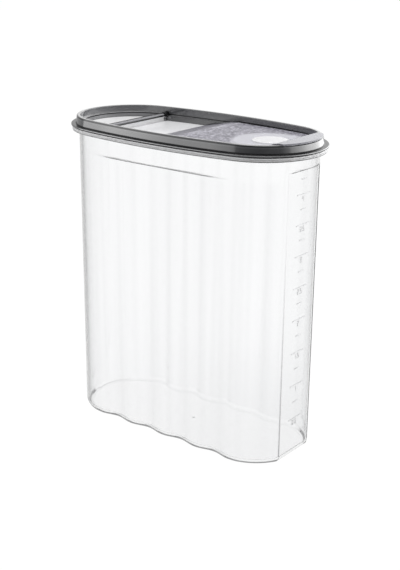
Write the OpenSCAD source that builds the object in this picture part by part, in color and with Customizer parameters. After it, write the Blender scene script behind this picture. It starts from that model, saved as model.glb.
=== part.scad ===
// Cereal container with a flip spout lid.
// X runs along the long side with the pour end at +X, Z is up, and the origin is
// under the middle of the base.  All sizes are in millimetres.

/* [Plan outline] */
// Half length of the lid collar
collar_half_length = 116.5; // [90:0.5:140]
// Half width of the lid collar at the middle
collar_half_width = 54.1; // [51:0.1:62]
// How much wider the collar is at the middle than across its rounded ends, each side
collar_bulge = 5.2; // [4.5:0.1:8]

/* [Container] */
// Height of the container from its base to the top of its rim
container_height = 261.1; // [200:0.5:320]
// Thickness of the container's side walls
wall = 1.6; // [1:0.1:2.2]
// Thickness of the container's floor
floor_thickness = 2; // [1.2:0.1:4]
// How far the collar stands outside the container's wall
wall_inset = 1.7; // [1.2:0.1:2.2]
// How far the round walls draw in from the rim to the base
wall_draft = 1; // [0:0.1:3]
// Radius of the rounded edge around the base
base_fillet = 5.5; // [2:0.5:6]
// Half angle of the round end that is cut away by the flat end wall
flat_end_angle = 27.4; // [15:0.1:40]
// Height of the top edge of the flat end wall below the rim
flat_end_drop = 12; // [9:0.5:40]
// Height of the top edge of the flat long walls below the rim
flat_side_drop = 18; // [16:0.5:50]
// Height of the slope from a flat wall out to the oval band
band_slope = 3; // [1:0.5:6]
// Half distance between the two long walls at their top edge
side_half_width_top = 46.8; // [45:0.1:49]
// Half distance between the two long walls at the base
side_half_width_base = 43.9; // [40:0.1:46]
// Length of one wave of the long walls
wave_pitch = 36.3; // [20:0.1:36.5]
// Height of the waves at the base, from their middle line
wave_height = 1.6; // [0.2:0.1:2]
// Height of the rim's edge
rim_height = 3.4; // [2.5:0.1:4]
// How far the rim stands outside the wall
rim_width = 5.7; // [3:0.1:6]
// Depth of the groove around the rim's edge
rim_groove = 0.8; // [0.3:0.1:1.5]

/* [Volume scale] */
// Height of the first mark, at half a litre
first_mark = 34.4; // [20:0.1:60]
// Distance from the first mark to where an even scale would put the second
mark_pitch = 30.7; // [20:0.1:35]
// How much closer each mark comes as the container widens
mark_closing = 0.445; // [0.2:0.005:0.6]
// Width of a long mark
long_mark = 18; // [8:0.5:30]
// Width of a short mark between two long ones
short_mark = 7; // [3:0.5:12]
// Height of one mark's line
mark_line = 0.8; // [0.4:0.1:1.5]
// How far the marks stand out of the wall
mark_relief = 0.3; // [0.1:0.05:0.6]

/* [Lid frame] */
// Height of the collar above the flange
collar_height = 7; // [5:0.5:12]
// Thickness of the collar at its top
collar_wall = 3; // [2:0.1:3.2]
// How far the flange stands outside the collar's top edge
flange_width = 5; // [4.5:0.1:6]
// Thickness of the flange
flange_thickness = 1.6; // [1.2:0.1:2.5]
// Thickness of the skirt that plugs the container's mouth
plug_wall = 1.5; // [1:0.1:2]
// Depth of the ledge behind the hinge below the collar's top
rear_ledge_drop = 5.8; // [4:0.1:7]
// Depth of the ledge around the flip door below the collar's top
front_ledge_drop = 7.4; // [6.8:0.1:7.8]
// Width of the shelf inside the skirt that carries the rear window
shelf_width = 3.9; // [2:0.1:6]
// Thickness of the shelf
shelf_thickness = 1.5; // [1:0.1:2.5]
// Depth of the notch that the door's tab lies in
notch_depth = 1; // [0.4:0.1:2]

/* [Hinge] */
// Distance of the hinge axis behind the middle of the lid
hinge_x = 69; // [40:0.5:72]
// Depth of the hinge axis below the collar's top
hinge_drop = 7.5; // [6.8:0.1:8]
// Radius of the door's hinge pins
pin_radius = 1.5; // [1:0.05:2]
// Radius of the door's hinge bar between the pins
bar_radius = 1.9; // [1.5:0.1:2.5]
// Length of each hinge pin
pin_length = 3.4; // [2.5:0.1:3.6]
// Radius of the hinge sockets' bosses
boss_radius = 3.2; // [2.8:0.1:4]
// How far a boss stands in from the skirt
boss_length = 2.4; // [1:0.1:4]

/* [Flip door] */
// Thickness of the door
door_thickness = 1.4; // [1:0.1:1.6]
// Depth of the low deck's top face below the collar's top
deck_drop = 12; // [11.5:0.1:14]
// Distance from the middle of the lid back to the foot of the ramp
ramp_foot_x = 26; // [10:0.5:40]
// Distance from the middle of the lid forward to the top of the ramp
crease_x = 8; // [-5:0.5:30]
// Rise of the raised panel's middle above its edges
crown = 1.2; // [0.5:0.1:2]
// Length of the curl that climbs over the collar
curl_length = 17; // [10:0.5:30]
// Half width of the tab that lies on the collar
tab_half_width = 28; // [15:0.5:32]
// Diameter of the plain round badge place
badge_diameter = 29; // [15:0.5:40]
// Distance of the badge place in front of the middle of the lid
badge_x = 76; // [30:0.5:78]
// Height of the badge place above the panel
badge_relief = 0.4; // [0.2:0.1:0.8]

/* [Rear window] */
// Thickness of the window
window_thickness = 1.4; // [1:0.1:2.5]
// Depth of the window's top face below the collar's top
window_drop = 10; // [9:0.1:11]
// Distance from the hinge axis back to the window's front edge
window_setback = 7.5; // [7:0.1:20]
// Height of the rib along the window's front edge, above its top face
window_rib = 3; // [1:0.1:4]

/* [Clearances] */
// Gap between the plug skirt and the container's mouth
mouth_clearance = 0.3; // [0.3:0.05:0.6]
// Gap between the door or window and the frame around it
panel_clearance = 0.5; // [0.4:0.05:1]
// Gap under a part that rests on another
seat_clearance = 0.3; // [0.2:0.05:0.5]
// Gap between a hinge pin and its bore
pin_clearance = 0.05; // [0.03:0.01:0.1]

/* [Hidden] */
$fn = 96;

// Heights of the lid's faces.
flange_bottom = container_height + seat_clearance;
flange_top = flange_bottom + flange_thickness;
lid_top = flange_top + collar_height;
rear_ledge = lid_top - rear_ledge_drop;
front_ledge = lid_top - front_ledge_drop;
deck_top = lid_top - deck_drop;
deck_bottom = deck_top - door_thickness;
window_top = lid_top - window_drop;
window_bottom = window_top - window_thickness;
rear_shelf = window_bottom - seat_clearance;
plug_bottom = rear_shelf - shelf_thickness;
hinge_z = lid_top - hinge_drop;
notch_floor = lid_top - notch_depth;
tab_bottom = notch_floor + seat_clearance;
tab_top = tab_bottom + door_thickness;
panel_bottom = front_ledge + seat_clearance;
panel_top = panel_bottom + door_thickness;

// Offsets of the lid's faces from the collar's top outer edge, outwards positive.
mouth_offset = -wall_inset - wall;
plug_outer = mouth_offset - mouth_clearance;
plug_inner = plug_outer - plug_wall;
shelf_inner = plug_inner - shelf_width;
low_panel_edge = plug_inner - panel_clearance;
high_panel_edge = -collar_wall - panel_clearance;

// The oval is four tangent arcs: two ends and two sides.
collar_end_radius = collar_half_width - collar_bulge;
end_centre_x = collar_half_length - collar_end_radius;
side_radius = (pow(end_centre_x, 2) + pow(collar_half_width, 2) - pow(collar_end_radius, 2))
    / (2 * (collar_half_width - collar_end_radius));
side_centre_y = collar_half_width - side_radius;
end_half_angle = atan2(-side_centre_y, end_centre_x);

// Half width of the oval at x, grown outwards by g.
function oval_half_width(x, g) =
    abs(x) < end_centre_x + (collar_end_radius + g) * cos(end_half_angle)
    ? side_centre_y + sqrt(pow(side_radius + g, 2) - x * x)
    : sqrt(max(0, pow(collar_end_radius + g, 2) - pow(abs(x) - end_centre_x, 2)));

function mix(a, b, t) = a + (b - a) * t;
function clamp01(t) = min(1, max(0, t));
function smooth(t) = clamp01(t) * clamp01(t) * (3 - 2 * clamp01(t));

// ---- Container -------------------------------------------------------------

wave_half_length = 2 * wave_pitch;
side_steps = 24;
corner_steps = 6;
flat_steps = 8;
round_end_steps = 20;
fillet_steps = 3;
flat_end_top = container_height - flat_end_drop;
flat_side_top = container_height - flat_side_drop;
rim_bottom = container_height - rim_height;

// Growth of the round walls at height z.
function wall_growth(z) = -wall_inset - wall_draft * (1 - z / container_height);

// Half width that the wavy long wall allows at x and z.
function wavy_half_width(x, z) =
    let (t = clamp01(z / flat_side_top))
    let (line = mix(side_half_width_base, side_half_width_top, t))
    line + wave_height * (1 - t) * cos(360 * x / wave_pitch);

// One point of the right end, where the flat end wall cuts the arc at cut_x.
function end_point(angle, g, cut_x) =
    [min(cut_x, end_centre_x + (collar_end_radius + g) * cos(angle)),
     (collar_end_radius + g) * sin(angle)];

// The container's outline at height z, drawn in by inset.  flat_side and flat_end
// say whether the flat walls cut the oval at this height.
function outline(z, growth, inset, flat_side, flat_end) =
    let (g = growth - inset)
    let (cut_x = flat_end
        ? end_centre_x + (collar_end_radius + growth) * cos(flat_end_angle) - inset
        : collar_half_length + flange_width)
    let (corner = end_half_angle - flat_end_angle)
    let (half_width = function (x)
        min(oval_half_width(x, g), flat_side ? wavy_half_width(x, z) - inset : oval_half_width(x, g)))
    concat(
        [for (i = [0 : flat_steps - 1])
            end_point(flat_end_angle * (2 * i / flat_steps - 1), g, cut_x)],
        [for (i = [0 : corner_steps - 1])
            end_point(flat_end_angle + corner * i / corner_steps, g, cut_x)],
        [for (i = [0 : side_steps])
            let (x = wave_half_length * (1 - 2 * i / side_steps)) [x, half_width(x)]],
        [for (i = [0 : round_end_steps])
            let (a = 180 - end_half_angle + 2 * end_half_angle * i / round_end_steps)
            [-end_centre_x + (collar_end_radius + g) * cos(a), (collar_end_radius + g) * sin(a)]],
        [for (i = [0 : side_steps])
            let (x = wave_half_length * (2 * i / side_steps - 1)) [x, -half_width(x)]],
        [for (i = [corner_steps - 1 : -1 : 0])
            end_point(-flat_end_angle - corner * i / corner_steps, g, cut_x)]);

function ring(z, growth, inset, flat_side, flat_end) =
    [for (p = outline(z, growth, inset, flat_side, flat_end)) [p[0], p[1], z]];

// Rings of a skin from the base up to the rim's underside.
function skin(inset, bottom, fillet, top) = concat(
    [for (i = [0 : fillet_steps])
        let (a = 90 * i / fillet_steps, z = bottom + fillet * (1 - cos(a)))
        ring(z, wall_growth(z), inset + fillet * (1 - sin(a)), true, true)],
    [ring(flat_side_top - band_slope, wall_growth(flat_side_top - band_slope), inset, true, true),
     ring(flat_side_top, wall_growth(flat_side_top), inset, false, true),
     ring(flat_end_top - band_slope, wall_growth(flat_end_top - band_slope), inset, false, true),
     ring(flat_end_top, wall_growth(flat_end_top), inset, false, false),
     ring(top, wall_growth(container_height), inset, false, false)]);

// The rim's edge, with its groove, from the underside to the top.
function rim() =
    let (g = wall_growth(container_height) + rim_width, lip = (rim_height - rim_groove) / 2)
    [for (p = [[0, 0], [lip, 0], [lip + rim_groove / 4, rim_groove],
               [rim_height - lip - rim_groove / 4, rim_groove], [rim_height - lip, 0], [rim_height, 0]])
        ring(rim_bottom + p[0], g, p[1], false, false)];

// A closed solid through a list of rings of equal length, capped at both ends around
// a middle point.
module loft(rings) {
    n = len(rings[0]);
    last = len(rings) - 1;
    middles = [[0, 0, rings[0][0][2]], [0, 0, rings[last][0][2]]];
    points = concat([for (r = rings) each r], middles);
    sides = [for (k = [0 : last - 1], i = [0 : n - 1])
        let (a = k * n + i, b = k * n + (i + 1) % n)
        each [[a, a + n, b + n], [a, b + n, b]]];
    bottom = [for (i = [0 : n - 1]) [i, (i + 1) % n, n * (last + 1)]];
    top = [for (i = [0 : n - 1]) [last * n + (i + 1) % n, last * n + i, n * (last + 1) + 1]];
    polyhedron(points, concat(bottom, sides, top), convexity = 10);
}

// Height of the mark for k half litres above the first.  Whole steps get long marks.
function mark_height(k) = first_mark + mark_pitch * k - mark_closing * k * k;

// One line of the volume scale on the flat end wall.
module scale_line(z, width) {
    face_x = end_centre_x + (collar_end_radius + wall_growth(z)) * cos(flat_end_angle);
    depth = wall / 2;
    translate([face_x - depth, -width / 2, z - mark_line / 2])
        cube([depth + mark_relief, width, mark_line]);
}

module container() {
    inner = skin(wall, floor_thickness, base_fillet - wall / 2, container_height);
    inner_down = [for (i = [len(inner) - 1 : -1 : 0]) inner[i]];
    color([0.93, 0.94, 0.95, 0.35]) {
        loft(concat(skin(0, 0, base_fillet, rim_bottom), rim(), inner_down));
        for (k = [0 : 0.5 : mark_pitch / mark_closing / 2])
            if (mark_height(k) + mark_line < flat_end_top - band_slope)
                scale_line(mark_height(k), k == floor(k) ? long_mark : short_mark);
    }
}

// ---- Lid -------------------------------------------------------------------

// The oval plan, grown outwards by g.
module plan(g) {
    joint_x = end_centre_x + (collar_end_radius + g) * cos(end_half_angle);
    for (s = [-1, 1]) translate([s * end_centre_x, 0]) circle(r = collar_end_radius + g);
    intersection() {
        translate([0, side_centre_y]) circle(r = side_radius + g, $fn = 720);
        translate([0, -side_centre_y]) circle(r = side_radius + g, $fn = 720);
        square([2 * joint_x, 4 * collar_half_width], center = true);
    }
}

module slab(g, bottom, top) {
    translate([0, 0, bottom]) linear_extrude(top - bottom) plan(g);
}

// Keeps the part of a shape between two values of x.
module between(from_x, to_x) {
    intersection() {
        children();
        translate([from_x, -collar_half_length, 0]) cube([to_x - from_x, 2 * collar_half_length, 2 * lid_top]);
    }
}

// The collar, the flange and the plug skirt, open through the middle.
module frame_wall() {
    difference() {
        union() {
            slab(flange_width, flange_bottom, flange_top);
            slab(0, flange_bottom, lid_top);
            slab(plug_outer, plug_bottom, flange_top);
        }
        slab(plug_inner, plug_bottom - 1, lid_top + 1);
        slab(-collar_wall, rear_ledge, lid_top + 1);
        between(rear_start_x, 2 * collar_half_length) slab(-collar_wall, front_ledge, lid_top + 1);
    }
}

// The shelf inside the skirt's foot, let into it by half its wall.
module shelf() {
    difference() {
        slab(plug_inner + plug_wall / 2, plug_bottom, rear_shelf);
        slab(shelf_inner, plug_bottom - 1, rear_shelf + 1);
    }
}

// Half width of the skirt's inner face at the hinge.
skirt_y = oval_half_width(hinge_x, plug_inner);
boss_face_y = skirt_y - boss_length;
// The ledge and the shelf step up just behind the sockets.
rear_start_x = -hinge_x - boss_radius - 2;

module at_hinge(y) {
    translate([-hinge_x, y, hinge_z]) rotate([-90, 0, 0]) children();
}

module lid_frame() {
    color([0.36, 0.37, 0.39])
    difference() {
        union() {
            frame_wall();
            between(-2 * collar_half_length, rear_start_x) shelf();
            for (s = [0, 1]) mirror([0, s, 0])
                at_hinge(boss_face_y) cylinder(r = boss_radius, h = boss_length + plug_wall / 2);
        }
        for (s = [0, 1]) mirror([0, s, 0])
            at_hinge(boss_face_y - 1) cylinder(r = pin_radius + pin_clearance, h = pin_length + 1);
        translate([end_centre_x, -tab_half_width - panel_clearance, notch_floor])
            cube([collar_half_length, 2 * (tab_half_width + panel_clearance), 2 * notch_depth]);
    }
}

// ---- Rear window -------------------------------------------------------------

module rear_window() {
    front_x = -hinge_x - window_setback;
    color([0.93, 0.94, 0.95, 0.35])
    intersection() {
        translate([0, 0, window_bottom])
            linear_extrude(window_thickness + window_rib) plan(low_panel_edge);
        union() {
            translate([-2 * collar_half_length + front_x, -collar_half_width, window_bottom])
                cube([2 * collar_half_length, 2 * collar_half_width, window_thickness]);
            translate([front_x - window_thickness, -collar_half_width, window_bottom])
                cube([window_thickness, 2 * collar_half_width, window_thickness + window_rib]);
        }
    }
}

// ---- Flip door ---------------------------------------------------------------

web_half_thickness = door_thickness / 2;
door_back_x = -hinge_x - web_half_thickness;
// The curl is at its full height just before the tab's sides leave the panel's arc.
tab_root_x = end_centre_x + sqrt(pow(collar_end_radius + high_panel_edge, 2) - pow(tab_half_width, 2));
curl_end_x = tab_root_x - panel_clearance;
curl_start_x = curl_end_x - curl_length;
curl_steps = 10;
crown_radius = (pow(collar_half_width + high_panel_edge, 2) + pow(crown, 2)) / (2 * crown);
crest = panel_top + crown;
far_below = 4 * door_thickness;

// The room below the deck, the ramp and the raised panel, seen from the side.  The
// ramp runs on past the crease, where the crown cuts it off.
module deck_profile() {
    ramp_run = crease_x + ramp_foot_x;
    ramp_rise = crest - deck_top;
    polygon([
        [door_back_x, deck_top - far_below],
        [door_back_x, deck_top],
        [-ramp_foot_x, deck_top],
        [-ramp_foot_x + 2 * ramp_run, deck_top + 2 * ramp_rise],
        [curl_end_x, deck_top + 2 * ramp_rise],
        [curl_end_x, deck_top - far_below]]);
}

// The curl that climbs from the panel's edge height to the tab.
module curl_profile() {
    polygon(concat(
        [[curl_start_x, deck_top - far_below]],
        [for (i = [0 : curl_steps])
            let (t = i / curl_steps) [mix(curl_start_x, curl_end_x, t), mix(panel_top, tab_top, smooth(t))]],
        [[collar_half_length, tab_top], [collar_half_length, deck_top - far_below]]));
}

module across(half_width) {
    translate([0, half_width, 0]) rotate([90, 0, 0]) linear_extrude(2 * half_width) children();
}

// All the room below the door's top face.
module below_door() {
    intersection() {
        across(collar_half_width) deck_profile();
        translate([-collar_half_length, 0, crest - crown_radius])
            rotate([0, 90, 0]) cylinder(r = crown_radius, h = 2 * collar_half_length, $fn = 720);
    }
    across(collar_half_width) curl_profile();
}

// The door's outline: narrow over the deck, wider on the ledge, and the tab in front.
module door_plan() {
    intersection() {
        plan(low_panel_edge);
        translate([door_back_x, -collar_half_width])
            square([crease_x + door_thickness - door_back_x, 2 * collar_half_width]);
    }
    intersection() {
        plan(high_panel_edge);
        translate([crease_x, -collar_half_width])
            square([collar_half_length - crease_x, 2 * collar_half_width]);
    }
    intersection() {
        plan(0);
        translate([curl_start_x, -tab_half_width])
            square([collar_half_length - curl_start_x, 2 * tab_half_width]);
    }
}

module door_panel() {
    intersection() {
        translate([0, 0, deck_bottom]) linear_extrude(tab_top - deck_bottom) door_plan();
        difference() {
            below_door();
            translate([0, 0, -door_thickness]) below_door();
        }
    }
}

module flip_door() {
    bar_y = boss_face_y - seat_clearance;
    color([0.86, 0.86, 0.90, 0.6])
    union() {
        door_panel();
        at_hinge(-bar_y) cylinder(r = bar_radius, h = 2 * bar_y);
        at_hinge(-bar_y - pin_length) cylinder(r = pin_radius, h = 2 * (bar_y + pin_length));
        translate([-hinge_x - web_half_thickness, -bar_y, deck_bottom])
            cube([door_thickness, 2 * bar_y, hinge_z - deck_bottom]);
        translate([badge_x, 0, crest - door_thickness / 2])
            cylinder(d = badge_diameter, h = door_thickness / 2 + badge_relief);
    }
}

container();
lid_frame();
rear_window();
flip_door();
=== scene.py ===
"""Looks for the cereal container with a flip spout lid.

Each CAD piece is stood for by a finer mesh of the same size.  Sizes here are in
millimetres, as in the part's source, and make_piece() turns them into metres.
"""
import math
from functools import reduce

import bmesh
import bpy
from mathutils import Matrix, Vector


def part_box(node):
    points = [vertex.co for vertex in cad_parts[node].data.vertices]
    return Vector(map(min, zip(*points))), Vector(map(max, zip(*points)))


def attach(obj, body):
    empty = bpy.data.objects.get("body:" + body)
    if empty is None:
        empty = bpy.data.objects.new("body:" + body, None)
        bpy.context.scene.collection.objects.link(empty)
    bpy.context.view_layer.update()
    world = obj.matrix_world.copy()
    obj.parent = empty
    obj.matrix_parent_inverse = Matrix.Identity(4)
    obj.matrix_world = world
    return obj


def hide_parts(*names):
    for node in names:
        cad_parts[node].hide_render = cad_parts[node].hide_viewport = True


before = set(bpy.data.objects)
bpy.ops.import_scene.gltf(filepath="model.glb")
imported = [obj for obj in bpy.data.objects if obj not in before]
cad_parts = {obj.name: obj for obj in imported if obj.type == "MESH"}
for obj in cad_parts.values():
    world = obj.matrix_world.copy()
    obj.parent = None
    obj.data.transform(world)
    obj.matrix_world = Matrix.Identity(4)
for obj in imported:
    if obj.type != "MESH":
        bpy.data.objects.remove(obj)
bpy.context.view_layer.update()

MM = 0.001

# Plan outline: the lid collar is an oval of four tangent arcs
COLLAR_HALF_LENGTH = 116.5
COLLAR_HALF_WIDTH = 54.1
COLLAR_BULGE = 5.2

# Container
WALL = 1.6
FLOOR = 2.0
WALL_INSET = 1.7
WALL_DRAFT = 1.0
BASE_FILLET = 5.5
FLAT_END_ANGLE = math.radians(27.4)
FLAT_END_DROP = 12.0
FLAT_SIDE_DROP = 18.0
BAND_SLOPE = 3.0
SIDE_TOP = 46.8
SIDE_BASE = 43.9
WAVE_PITCH = 36.3
WAVE_HEIGHT = 1.6
RIM_HEIGHT = 3.4
RIM_WIDTH = 5.7
RIM_GROOVE = 0.8

# Volume scale
FIRST_MARK = 34.4
MARK_PITCH = 30.7
MARK_CLOSING = 0.445
LONG_MARK = 18.0
SHORT_MARK = 7.0
MARK_LINE = 0.8
MARK_RELIEF = 0.3
MARK_SINK = 0.05  # how far a mark's foot is let into the wall
DIGIT_HEIGHT = 4.2
GATE_RADIUS, GATE_HEIGHT = 1.3, 0.5  # the moulding's gate mark on the floor

# Lid frame
COLLAR_WALL = 3.0
COLLAR_LEAN = 1.1
COLLAR_HEIGHT = 7.0
FLANGE_WIDTH = 5.0
FLANGE_THICKNESS = 1.6
PLUG_WALL = 1.5
MOUTH_CLEARANCE = 0.3
REAR_LEDGE_DROP = 5.8
FRONT_LEDGE_DROP = 7.4
SHELF_WIDTH = 3.9
SHELF_THICKNESS = 1.5
NOTCH_DEPTH = 1.0

# Hinge and door
HINGE_X = 69.0
HINGE_DROP = 7.5
PIN_RADIUS = 1.5
PIN_CLEARANCE = 0.05
BAR_RADIUS = 1.9
PIN_LENGTH = 3.4
BOSS_RADIUS = 3.2
BOSS_LENGTH = 2.4
DOOR_THICKNESS = 1.4
DECK_DROP = 12.0
RAMP_FOOT_X = 26.0
CREASE_X = 8.0
CROWN = 1.2
CURL_LENGTH = 17.0
TAB_HALF_WIDTH = 28.0
BADGE_RADIUS = 14.5
BADGE_X = 76.0
BADGE_RELIEF = 0.4

# Rear window
WINDOW_THICKNESS = 1.4
WINDOW_DROP = 10.0
WINDOW_SETBACK = 7.5
WINDOW_RIB = 3.0

PANEL_CLEARANCE = 0.5
SEAT = 0.3

BEVEL_ANGLE = math.radians(35)  # only edges sharper than this are rounded

# Heights and offsets worked out from them and from the frame
LID_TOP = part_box("lid_frame")[1].z / MM
RIM_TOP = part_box("container")[1].z / MM
FLANGE_TOP = LID_TOP - COLLAR_HEIGHT
FLANGE_BOTTOM = FLANGE_TOP - FLANGE_THICKNESS
FRONT_LEDGE = LID_TOP - FRONT_LEDGE_DROP
REAR_LEDGE = LID_TOP - REAR_LEDGE_DROP
DECK_TOP = LID_TOP - DECK_DROP
HINGE_Z = LID_TOP - HINGE_DROP
PANEL_TOP = FRONT_LEDGE + SEAT + DOOR_THICKNESS
CREST = PANEL_TOP + CROWN
TAB_TOP = LID_TOP - NOTCH_DEPTH + SEAT + DOOR_THICKNESS
WINDOW_TOP = LID_TOP - WINDOW_DROP
REAR_SHELF = WINDOW_TOP - WINDOW_THICKNESS - SEAT
PLUG_BOTTOM = REAR_SHELF - SHELF_THICKNESS
FLAT_END_TOP = RIM_TOP - FLAT_END_DROP
FLAT_SIDE_TOP = RIM_TOP - FLAT_SIDE_DROP
PLUG_OUTER = -WALL_INSET - WALL - MOUTH_CLEARANCE
PLUG_INNER = PLUG_OUTER - PLUG_WALL
SHELF_INNER = PLUG_INNER - SHELF_WIDTH
LOW_EDGE = PLUG_INNER - PANEL_CLEARANCE
HIGH_EDGE = -COLLAR_WALL - PANEL_CLEARANCE

END_RADIUS = COLLAR_HALF_WIDTH - COLLAR_BULGE
END_X = COLLAR_HALF_LENGTH - END_RADIUS
SIDE_RADIUS = (END_X ** 2 + COLLAR_HALF_WIDTH ** 2 - END_RADIUS ** 2) / (2 * COLLAR_BULGE)
SIDE_Y = COLLAR_HALF_WIDTH - SIDE_RADIUS
END_ANGLE = math.atan2(-SIDE_Y, END_X)


# ---- Small helpers -----------------------------------------------------------

def mix(a, b, t):
    return a + (b - a) * t


def smooth(t):
    t = min(1.0, max(0.0, t))
    return t * t * (3 - 2 * t)


def soft_min(a, b, k):
    """The smaller of a and b, rounded where they are closer than k."""
    h = max(k - abs(a - b), 0) / k
    return min(a, b) - h * h * k / 4


def soft_max(a, b, k):
    return -soft_min(-a, -b, k)


def circle(radius, steps, centre=(0, 0)):
    """Points round a circle in a plane."""
    return [(centre[0] + radius * math.cos(2 * math.pi * i / steps),
             centre[1] + radius * math.sin(2 * math.pi * i / steps)) for i in range(steps)]


def oval_half_width(x, g):
    """Half width of the oval at x, grown outwards by g."""
    if abs(x) < END_X + (END_RADIUS + g) * math.cos(END_ANGLE):
        return SIDE_Y + math.sqrt((SIDE_RADIUS + g) ** 2 - x * x)
    return math.sqrt(max(0.0, (END_RADIUS + g) ** 2 - (abs(x) - END_X) ** 2))


def oval_frame(end_steps, side_steps):
    """Points of the collar's outline with their outward normals, anticlockwise from the pour end."""
    points = []
    for centre, radius, start, stop, steps in (
        ((END_X, 0), END_RADIUS, -END_ANGLE, END_ANGLE, end_steps),
        ((0, SIDE_Y), SIDE_RADIUS, END_ANGLE, math.pi - END_ANGLE, side_steps),
        ((-END_X, 0), END_RADIUS, math.pi - END_ANGLE, math.pi + END_ANGLE, end_steps),
        ((0, -SIDE_Y), SIDE_RADIUS, math.pi + END_ANGLE, 2 * math.pi - END_ANGLE, side_steps),
    ):
        for i in range(steps):
            a = mix(start, stop, i / steps)
            n = (math.cos(a), math.sin(a))
            points.append((centre[0] + radius * n[0], centre[1] + radius * n[1], *n))
    return points


def rounded(corners, steps=4):
    """A closed section of (offset, height) points from corners (offset, height, radius)."""
    section = []
    for i, (x, z, r) in enumerate(corners):
        here = Vector((x, z))
        before = (Vector(corners[i - 1][:2]) - here).normalized()
        after = (Vector(corners[(i + 1) % len(corners)][:2]) - here).normalized()
        if r == 0:
            section.append((x, z))
            continue
        for k in range(steps + 1):
            t = k / steps
            section.append(tuple(here + before * r * (1 - t) ** 2 + after * r * t ** 2))
    return section


def make_piece(name, verts, faces, material, body, nodes=(), bevel=0.0):
    """A mesh piece in metres that rides on a body and stands for CAD nodes."""
    mesh = bpy.data.meshes.new(name)
    mesh.from_pydata([Vector(v) * MM for v in verts], [], faces)
    bm = bmesh.new()
    bm.from_mesh(mesh)
    bmesh.ops.recalc_face_normals(bm, faces=bm.faces)
    bm.to_mesh(mesh)
    bm.free()
    mesh.shade_smooth()
    mesh.materials.append(material)
    piece = bpy.data.objects.new(name, mesh)
    bpy.context.scene.collection.objects.link(piece)
    if bevel:
        edge = piece.modifiers.new("rounding", "BEVEL")
        edge.width = bevel * MM
        edge.segments = 2
        edge.limit_method = "ANGLE"
        edge.angle_limit = BEVEL_ANGLE
    normals = piece.modifiers.new("flat_faces", "WEIGHTED_NORMAL")
    normals.keep_sharp = True
    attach(piece, body)
    if nodes:
        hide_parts(*nodes)
    return piece


class Shape:
    """Vertices and faces gathered from several closed bodies."""

    def __init__(self):
        self.verts, self.faces = [], []

    def grid(self, rings, close_rings=False, caps=True):
        """A skin through rings of equal length, closed along each ring."""
        base, n = len(self.verts), len(rings[0])
        for ring in rings:
            self.verts.extend(ring)
        last = len(rings) - 1
        for k in range(last + (1 if close_rings else 0)):
            a, b = base + k * n, base + ((k + 1) % len(rings)) * n
            for i in range(n):
                j = (i + 1) % n
                self.faces.append((a + i, a + j, b + j, b + i))
        if caps and not close_rings:
            for ring, first, flip in ((rings[0], base, True), (rings[last], base + last * n, False)):
                middle = len(self.verts)
                self.verts.append(tuple(sum(p[k] for p in ring) / n for k in range(3)))
                for i in range(n):
                    j = (i + 1) % n
                    pair = (first + j, first + i) if flip else (first + i, first + j)
                    self.faces.append((*pair, middle))

    def box(self, low, high):
        corners = [(x, y, z) for z in (low[2], high[2]) for x, y in
                   ((low[0], low[1]), (high[0], low[1]), (high[0], high[1]), (low[0], high[1]))]
        base = len(self.verts)
        self.verts.extend(corners)
        for f in ((0, 3, 2, 1), (4, 5, 6, 7), (0, 1, 5, 4), (1, 2, 6, 5), (2, 3, 7, 6), (3, 0, 4, 7)):
            self.faces.append(tuple(base + i for i in f))

    def lathe_y(self, x, z, profile, steps=40):
        """A turned body about the line along Y through x and z, from (y, radius) points."""
        self.grid([[(px, y, pz) for px, pz in circle(r, steps, (x, z))] for y, r in profile])


def sweep(section_at, end_steps=72, side_steps=60):
    """Rings of a section carried all round the oval; section_at(x, y) gives its points."""
    return [[(x + nx * g, y + ny * g, z) for g, z in section_at(x, y)]
            for x, y, nx, ny in oval_frame(end_steps, side_steps)]


# ---- Camera, light and floor ---------------------------------------------------

IMAGE_HEIGHT = 570
FOCAL_PX = 1106.4
CENTRE_SHIFT_PX = (6.31, -7.515)
AIM = Vector((0, 0, 0.135))
DISTANCE = 0.9601
AZIMUTH, ELEVATION, ROLL = 0.66991, 0.32135, 0.00747  # radians, fitted to the photograph
CLIP = (0.05, 20)

WORLD_STRENGTH = 0.6
SOFTBOX_RADIANCE = 3.4
FLOOR_HALF = 30.0


def add_camera():
    """The camera at the photograph's angle; the long side of the picture spans the sensor."""
    back = Vector((math.sin(AZIMUTH) * math.cos(ELEVATION), -math.cos(AZIMUTH) * math.cos(ELEVATION),
                   math.sin(ELEVATION)))
    right = Vector((math.cos(AZIMUTH), math.sin(AZIMUTH), 0))
    up = back.cross(right)
    rolled_right = right * math.cos(ROLL) + up * math.sin(ROLL)
    rolled_up = up * math.cos(ROLL) - right * math.sin(ROLL)
    data = bpy.data.cameras.new("camera")
    data.sensor_fit = "AUTO"
    data.sensor_width = 36
    data.lens = FOCAL_PX * data.sensor_width / IMAGE_HEIGHT
    data.shift_x, data.shift_y = (s / IMAGE_HEIGHT for s in CENTRE_SHIFT_PX)
    data.clip_start, data.clip_end = CLIP
    camera = bpy.data.objects.new("camera", data)
    bpy.context.scene.collection.objects.link(camera)
    matrix = camera.matrix_world.copy()
    for k, axis in enumerate((rolled_right, rolled_up, back)):
        for row in range(3):
            matrix[row][k] = axis[row]
    matrix.translation = AIM + back * DISTANCE
    camera.matrix_world = matrix
    bpy.context.scene.camera = camera


def nodes_of(owner):
    """The emptied node tree of a material or a world."""
    owner.use_nodes = True
    tree = owner.node_tree
    tree.nodes.clear()
    return tree


def calculate(tree, operation, a, b=None):
    """A Math node on sockets or plain numbers."""
    node = tree.nodes.new("ShaderNodeMath")
    node.operation = operation
    for socket, value in zip(node.inputs, (a, b)):
        if isinstance(value, (int, float)):
            socket.default_value = value
        elif value is not None:
            tree.links.new(value, socket)
    return node.outputs[0]


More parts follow.
